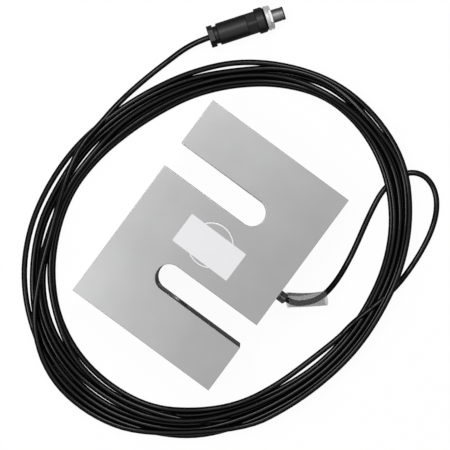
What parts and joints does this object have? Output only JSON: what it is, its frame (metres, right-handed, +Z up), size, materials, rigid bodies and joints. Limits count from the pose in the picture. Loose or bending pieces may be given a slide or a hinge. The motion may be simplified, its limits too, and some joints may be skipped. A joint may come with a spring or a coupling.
{
  "type": "s-type load cell with coiled cable and circular plug",
  "caption": "S-shaped steel load cell with a threaded hole in each end arm, a cover over its gauge pocket, and a coiled cable that ends in a round plug.",
  "frame": {"origin": "centre of the block's bottom face, the rear face on which it lies", "axes": "+X along the two slots towards the side with the cable gland, +Y along the load axis, +Z up through the block's thickness"},
  "size_m": [0.2726, 0.3444, 0.0509],
  "materials": {
    "nickel_plated_steel": "satin nickel plate",
    "cover_steel": "satin nickel plate",
    "potting": "soft silicone",
    "gauge_foil": "foil on a backing film",
    "board_laminate": "solder-masked laminate",
    "component_black": "moulded chip",
    "core_insulation": "extruded insulation",
    "label_film": "silvery film",
    "seal_rubber": "moulded",
    "gland_metal": "blackened",
    "clear_film": "clear film",
    "cable_jacket": "glossy jacket",
    "plug_black": "fine matt",
    "plated_ring": "bright nickel plate",
    "spring_steel": "spring temper",
    "barrel_metal": "satin nickel plate",
    "insert_moulding": "moulded",
    "contact_plating": "gold flash"
  },
  "bodies": {
    "cell": {"load_cell_body": "nickel_plated_steel", "front_cover": "cover_steel", "rear_cover": "cover_steel", "front_sealant": "potting", "rear_sealant": "potting", "strain_gauges": "gauge_foil", "bridge_board": "board_laminate", "trim_resistors": "component_black", "signal_cores": "core_insulation", "type_label": "label_film", "gland_washer": "seal_rubber", "gland_body": "gland_metal", "gland_seal": "seal_rubber", "gland_nut": "gland_metal", "clear_sleeve": "clear_film", "cable_lead": "cable_jacket", "cable_loop": "cable_jacket", "cable_coil": "cable_jacket", "cable_tail": "cable_jacket", "plug_rear_nut": "plug_black", "plug_seal": "seal_rubber", "plug_clamp": "plug_black", "plug_housing": "plug_black", "housing_oring": "seal_rubber", "plug_front_body": "plug_black", "ring_retainer": "spring_steel", "plug_barrel": "barrel_metal", "barrel_tip_ring": "plug_black", "contact_insert": "insert_moulding", "contact_pins": "contact_plating", "plug_cores": "core_insulation"},
    "coupling": {"coupling_ring": "plated_ring"}
  },
  "joints": [
    {"name": "coupling_ring_turn", "type": "hinge", "parent": "cell", "child": "coupling", "pos_m": [-0.0686, 0.16761, 0.01], "axis": [0.5807, 0.8141, 0], "continuous": true}
  ]
}
